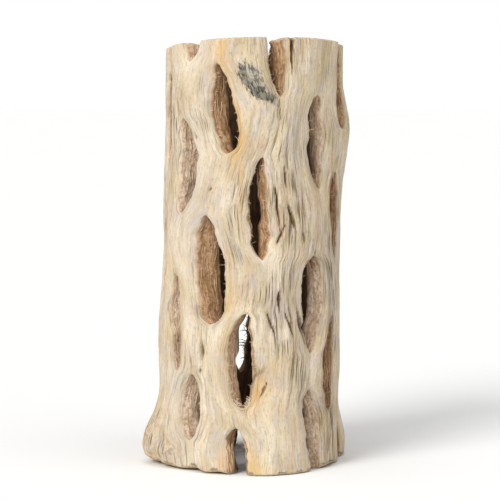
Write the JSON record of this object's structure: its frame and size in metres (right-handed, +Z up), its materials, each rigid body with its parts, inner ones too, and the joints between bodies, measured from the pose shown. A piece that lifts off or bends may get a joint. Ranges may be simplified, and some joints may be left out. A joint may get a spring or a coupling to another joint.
{
  "type": "cholla cactus skeleton",
  "caption": "Sawn section of dry, hollow cactus wood: a tube of strands that part round lens-shaped windows, standing on its flat lower cut.",
  "frame": {"origin": "under the middle of the piece, on the plane of the lower saw cut that it stands on", "axes": "+Z up along the stem from the lower saw cut to the upper one, -Y towards the side that the picture shows, +X to the right of it"},
  "size_m": [0.0726, 0.0653, 0.1494],
  "materials": {
    "wood": "matt, dry and fibrous, sun-bleached outside and brown in the windows"
  },
  "bodies": {
    "root": {"wood_skeleton": "wood"}
  },
  "joints": []
}
